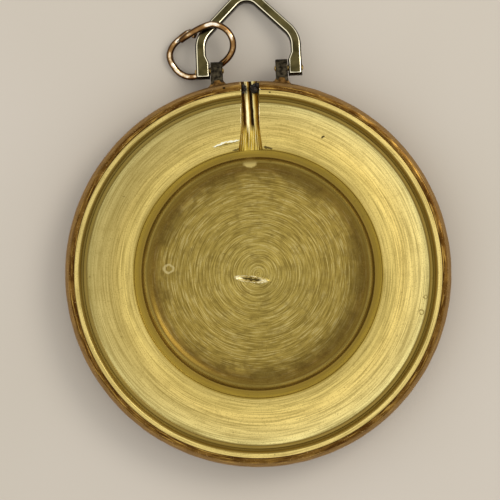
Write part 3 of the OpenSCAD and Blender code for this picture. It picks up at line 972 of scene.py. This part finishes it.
def makeRing():
    s, p = ring, place
    half, wireR, slope = p["bailHalf"], s["wireD"] / 2, bailSlope()
    overX, overY = s["over"]
    barTop = p["pinZ"] - overY * math.tan(slope) + (bail["barT"] / 2 + wireR) / math.cos(slope)
    over = Vector((-half + overX, p["pinY"] + overY, barTop + s["barGap"]))
    under = Vector((-p["lugMid"], p["pinY"] + s["underY"], p["pinZ"] - p["lugR"] - wireR - s["lugGap"]))
    low = Vector((-half + s["low"][0], p["pinY"] + s["low"][1], wireR + s["tableGap"]))
    normal = (over - low).cross(under - low)
    marks = []
    for dx, dy, lift in s["route"]:
        x, y = dx - half, p["pinY"] + dy
        z = low.z - (normal.x * (x - low.x) + normal.y * (y - low.y)) / normal.z
        marks.append(Vector((x, y, z + lift * s["wireD"])))
    line = throughPoints(marks, s["steps"])[s["capRoom"]:-s["capRoom"]]
    thick, varies, often = s["drawn"]
    radii = [wireR * (thick - varies * abs(noise.noise(Vector((i * often, 0, 0))))) for i in range(len(line))]
    for i in range(s["tapered"]):
        share = s["taper"] + (1 - s["taper"]) * i / s["tapered"]
        radii[i] *= share
        radii[-1 - i] *= share
    made = tube("jump_ring_wire", line, radii, s["sides"], normal.normalized())
    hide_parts("jump_ring")
    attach(made, "ring")
    return made


jumpRing = makeRing()
print("jump ring made")


# Grime packed in the channel's mouth, and torn edges
grimeLook = {
    # x, y, z ranges that the crumbs lie in and how many, in mm; the last is how big they are
    "heaps": [((0.2, 0.95), (18.85, 19.7), (2.95, 4.0), 34, (0.1, 0.26)),
              ((0.35, 0.9), (19.0, 19.6), (3.9, 4.5), 12, (0.08, 0.17)),
              ((-0.72, -0.55), (18.7, 19.75), (3.1, 4.2), 16, (0.08, 0.16))],
    "lumpy": 0.45, "broad": 3.0, "close": 1.6,  # how rough a crumb is, and how fast that changes
    "layers": (0.8, 2.1, 3),  # of roughness: how fast they fade, how much finer each is, how many
}
burrLook = {
    "thick": 0.055, "sway": 0.03, "steps": 24, "sides": 10,  # mm, mm
    # how often it sways and tears along its length, how thick its ends stay, and the thickness of a
    # tear with how much that varies
    "sways": 7, "tears": 11, "ends": 0.35, "torn": (0.8, 0.5),
    # name, x, y, z of the two ends in mm, along the channel's lips
    "lines": [("burr_left", (-0.98, 18.9, 4.72), (-1.0, 19.9, 4.45)),
              ("burr_right", (1.02, 18.7, 4.74), (0.99, 19.2, 4.66)),
              ("burr_step_left", (-1.02, 17.7, 3.66), (-1.13, 15.6, 3.74)),
              ("burr_step_right", (0.9, 17.7, 3.66), (0.83, 15.7, 3.74))],
}


def makeGrime():
    bm = bmesh.new()
    for rangeX, rangeY, rangeZ, count, sizes in grimeLook["heaps"]:
        for _ in range(count):
            middle = Vector([random.uniform(*span) for span in (rangeX, rangeY, rangeZ)])
            size = random.uniform(*sizes)
            crumb = bmesh.ops.create_icosphere(bm, subdivisions=3, radius=1)
            for vert in crumb["verts"]:
                way = vert.co.normalized()
                at = middle * grimeLook["broad"] + way * grimeLook["close"]
                push = 1 + noise.fractal(at, *grimeLook["layers"]) * grimeLook["lumpy"]
                vert.co = (middle + way * size * push) * mm
    made = makeObject("channel_grime", bm, 60)
    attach(made, "case")
    return made


def makeBurr(name, start, end):
    # a torn sliver, thick in the middle and ragged along its length
    s, start, end = burrLook, Vector(start), Vector(end)
    thick, varies = s["torn"]
    line, radii = [], []
    for k in range(s["steps"] + 1):
        t = k / s["steps"]
        sway = noise.noise(start + Vector((t * s["sways"], 0, 0))) * s["sway"]
        line.append(start.lerp(end, t) + Vector((sway, 0, 0)))
        full = s["ends"] + (1 - s["ends"]) * math.sqrt(math.sin(math.pi * t))
        torn = thick + varies * abs(noise.noise(start * 3 + Vector((t * s["tears"], 0, 0))))
        radii.append(s["thick"] * full * torn)
    made = tube(name, line, radii, s["sides"], Vector((0, 0, 1)), 2)
    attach(made, "case")
    return made


grime = makeGrime()
burrs = [makeBurr(*line) for line in burrLook["lines"]]
print("grime and burrs made")


lugSkin, solderSkin, pinSkin, burrSkin = [tarnishedMetal(name) for name in (
    "dark tarnished lug brass", "brown hard solder", "drawn brass pin", "torn bright brass edge")]
for pieces, skin in ((lugs, lugSkin), (solders, solderSkin), (pins, pinSkin), (burrs, burrSkin)):
    for piece in pieces:
        dress(piece, skin)
dress(bailBar, paleGoldPaintedLight())
dress(jumpRing, roseGoldWire())
dress(grime, packedGrime())
print("materials made")

studio = {
    "floorHalf": 900, "glow": 1.03,  # mm, strength
    # how bright the room is from the horizon (0) to straight overhead (1)
    "sky": [(0.0, 0.3), (0.2, 0.5), (0.4, 0.9), (0.6, 1.0), (0.85, 1.0), (0.95, 0.92), (1.0, 0.85)],
    "keyPower": 0.42, "keyColour": "#fffaf0", "keySize": 200, "keyAway": 420,  # watts, mm, mm
    "keyHeight": 50, "keyTurn": 55,  # degrees over the table, and from the bail towards the right
}


def lightStudio():
    s = studio
    bm = bmesh.new()
    bmesh.ops.create_grid(bm, x_segments=4, y_segments=4, size=s["floorHalf"] * mm)
    floor = makeObject("floor", bm)
    dress(floor, tableTop())
    world = bpy.data.worlds.new("soft room")
    scene.world = world
    world.use_nodes = True
    tree = world.node_tree
    tree.nodes.clear()
    height = addNode(tree, "SeparateXYZ", {0: addNode(tree, "TexCoord").outputs["Generated"]}).outputs["Z"]
    greys = [(at, [grey] * 3 + [1.0]) for at, grey in s["sky"]]
    sky = addNode(tree, "ValToRGB", {"Fac": height}, stops=greys)
    glow = addNode(tree, "Background", {"Color": sky, "Strength": s["glow"]})
    addNode(tree, "OutputWorld", {"Surface": glow})
    data = bpy.data.lights.new("key", "AREA")
    data.shape, data.size, data.energy = "DISK", s["keySize"] * mm, s["keyPower"]
    data.color = linear(s["keyColour"])[:3]
    key = bpy.data.objects.new("key", data)
    scene.collection.objects.link(key)
    up, turn = math.radians(s["keyHeight"]), math.radians(s["keyTurn"])
    aim = Vector((math.sin(turn) * math.cos(up), math.cos(turn) * math.cos(up), math.sin(up)))
    key.location = aim * s["keyAway"] * mm
    key.rotation_euler = aim.to_track_quat("Z", "Y").to_euler()


# mm: where the camera looks straight down, the width it sees, its height over the rim, its sensor and
# how near and far it sees; turn is in degrees
view = {"x": -0.745, "y": 2.515, "across": 51.65, "away": 400, "turn": 2.57, "sensor": 36,
        "near": 10, "far": 5000}


def placeCamera():
    v = view
    data = bpy.data.cameras.new("camera")
    data.sensor_width, data.lens = v["sensor"], v["sensor"] * v["away"] / v["across"]
    data.dof.use_dof = False
    data.clip_start, data.clip_end = v["near"] * mm, v["far"] * mm
    camera = bpy.data.objects.new("camera", data)
    scene.collection.objects.link(camera)
    camera.location = Vector((v["x"], v["y"], place["rimZ"] + v["away"])) * mm
    camera.rotation_euler = (0, 0, -math.radians(v["turn"]))
    scene.camera = camera


lightStudio()
placeCamera()
scene.view_settings.view_transform = "Standard"
print("light and camera set")
